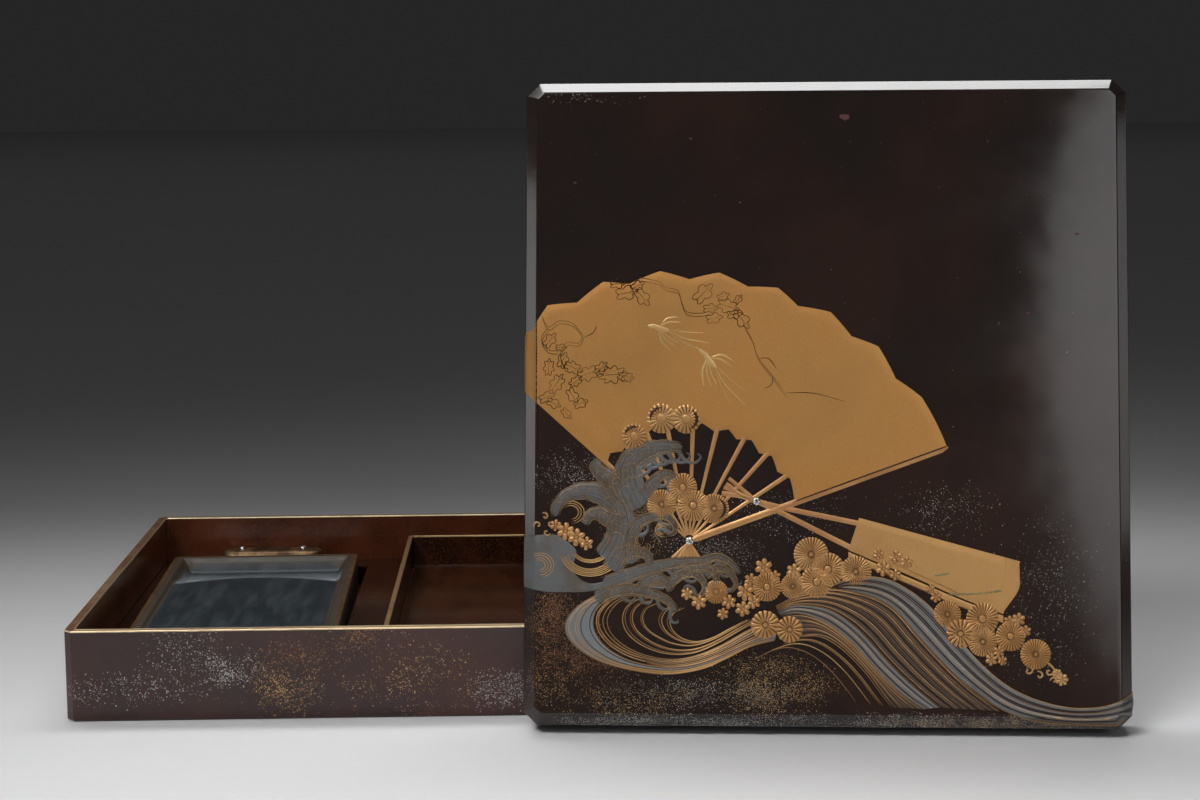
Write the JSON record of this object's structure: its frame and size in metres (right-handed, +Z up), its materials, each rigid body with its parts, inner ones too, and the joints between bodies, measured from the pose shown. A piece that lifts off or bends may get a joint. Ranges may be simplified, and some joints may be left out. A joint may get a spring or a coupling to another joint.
{
  "type": "lacquer writing box",
  "caption": "Open black lacquer writing box with inkstone, water dropper and brush tray, its bevelled lid with gold fans and waves leaning on the front.",
  "frame": {"origin": "centre of the open box's underside, on the table", "axes": "+Z up, +X to the right towards the brush tray and the leaning lid, +Y away from the user towards the water dropper"},
  "size_m": [0.41, 0.2855, 0.244],
  "materials": {
    "dark_lacquer": "polished brown-black lacquer with sprinkled gold and silver",
    "red_brown_lacquer": "polished red-brown lacquer with fine metal powder in it",
    "slate": "smooth honed slate, brown lacquer on the rim",
    "bronze": "brown patinated bronze, satin",
    "silver": "polished silver",
    "gold": "burnished gold powder in lacquer"
  },
  "bodies": {
    "root": {"box_body": "dark_lacquer", "lid": "dark_lacquer", "base_board": "red_brown_lacquer", "inkstone": "slate", "water_dropper": "bronze", "dropper_eyelet_left": "silver", "dropper_eyelet_right": "silver", "brush_tray": "red_brown_lacquer"}
  },
  "joints": []
}
